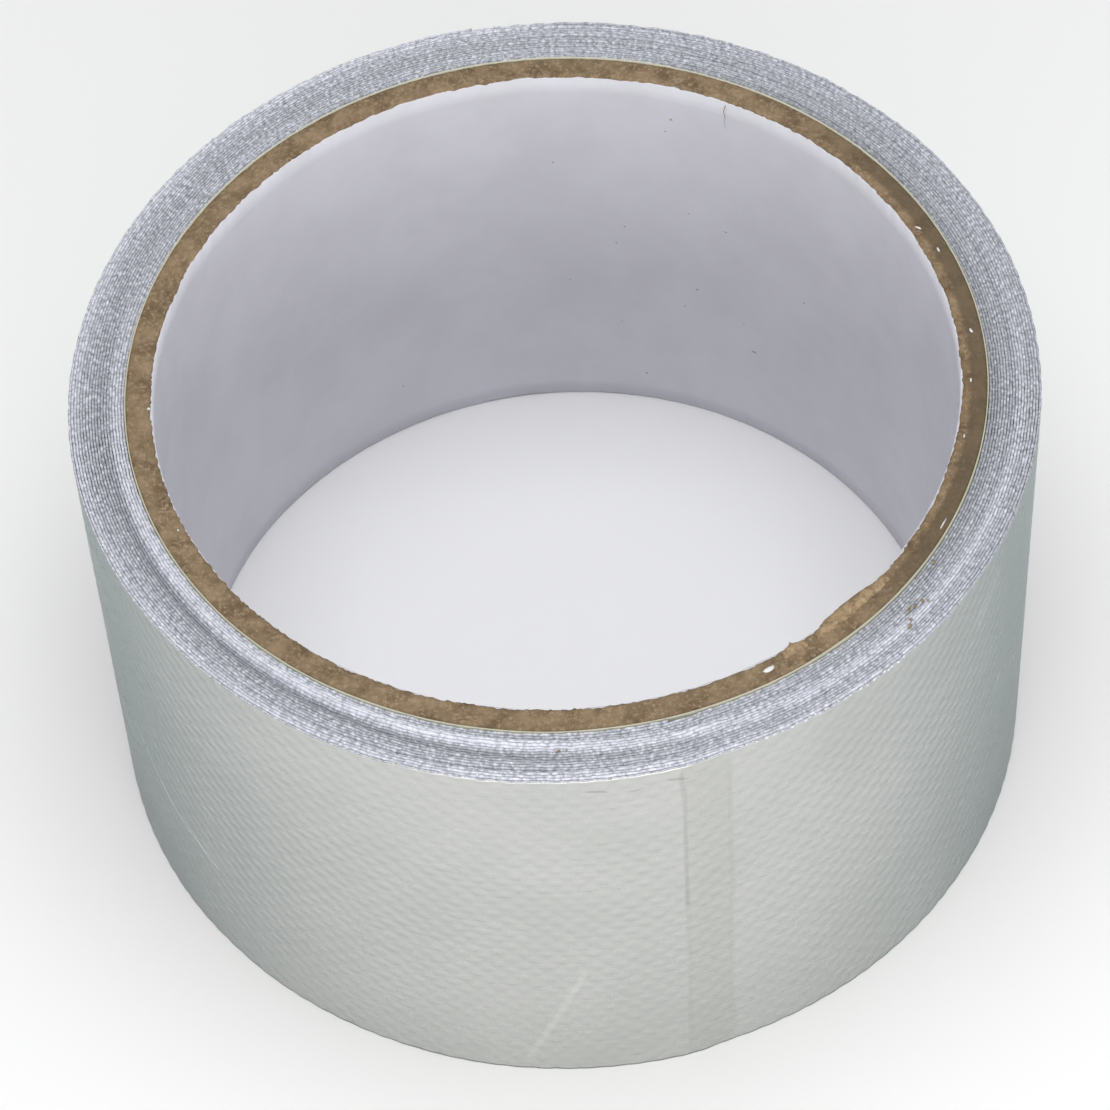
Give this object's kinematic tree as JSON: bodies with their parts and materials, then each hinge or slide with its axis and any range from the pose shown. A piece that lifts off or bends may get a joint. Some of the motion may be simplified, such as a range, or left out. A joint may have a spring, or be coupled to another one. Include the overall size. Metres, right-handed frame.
{
  "type": "exhaust heat wrap roll",
  "caption": "Roll of foil-faced glass cloth heat wrap on a paper-lined board core, wound foil side out, for wrapping hot exhaust pipes, standing on its end.",
  "frame": {"origin": "centre of the roll's lower end, on the surface that it stands on", "axes": "+Z along the roll's axis, from the lower end to the upper end; X and Y are free, and the side in the picture faces -Y"},
  "size_m": [0.0918, 0.0918, 0.0504],
  "materials": {
    "foil_faced_cloth": "satin",
    "foil_face": "satin",
    "kraft_board": "matte",
    "white_paper": "matte",
    "cream_paper": "matte"
  },
  "bodies": {
    "root": {"wrap_roll": "foil_faced_cloth", "cardboard_core": "kraft_board", "core_liner": "white_paper"}
  },
  "joints": []
}
